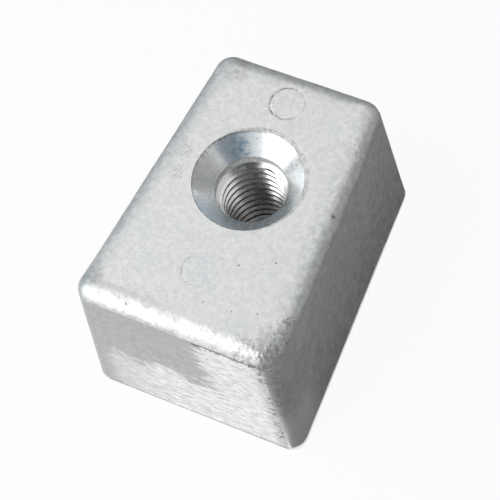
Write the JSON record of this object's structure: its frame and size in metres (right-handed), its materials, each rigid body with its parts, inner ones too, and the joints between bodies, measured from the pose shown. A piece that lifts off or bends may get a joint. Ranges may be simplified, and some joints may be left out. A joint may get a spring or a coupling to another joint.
{
  "type": "sacrificial anode",
  "caption": "Wedge-shaped cast zinc block anode for an outboard drive, with a countersunk threaded hole right through it.",
  "frame": {"origin": "middle of the foot's bounding box, on the face that the block stands on", "axes": "+Z along the threaded hole, out of its countersunk mouth; +Y along the block's length, towards its narrow end; +X across it, to the right seen from the wide end"},
  "size_m": [0.0322, 0.0436, 0.0251],
  "materials": {
    "zinc": "matte, as cast"
  },
  "bodies": {
    "root": {"anode_block": "zinc"}
  },
  "joints": []
}
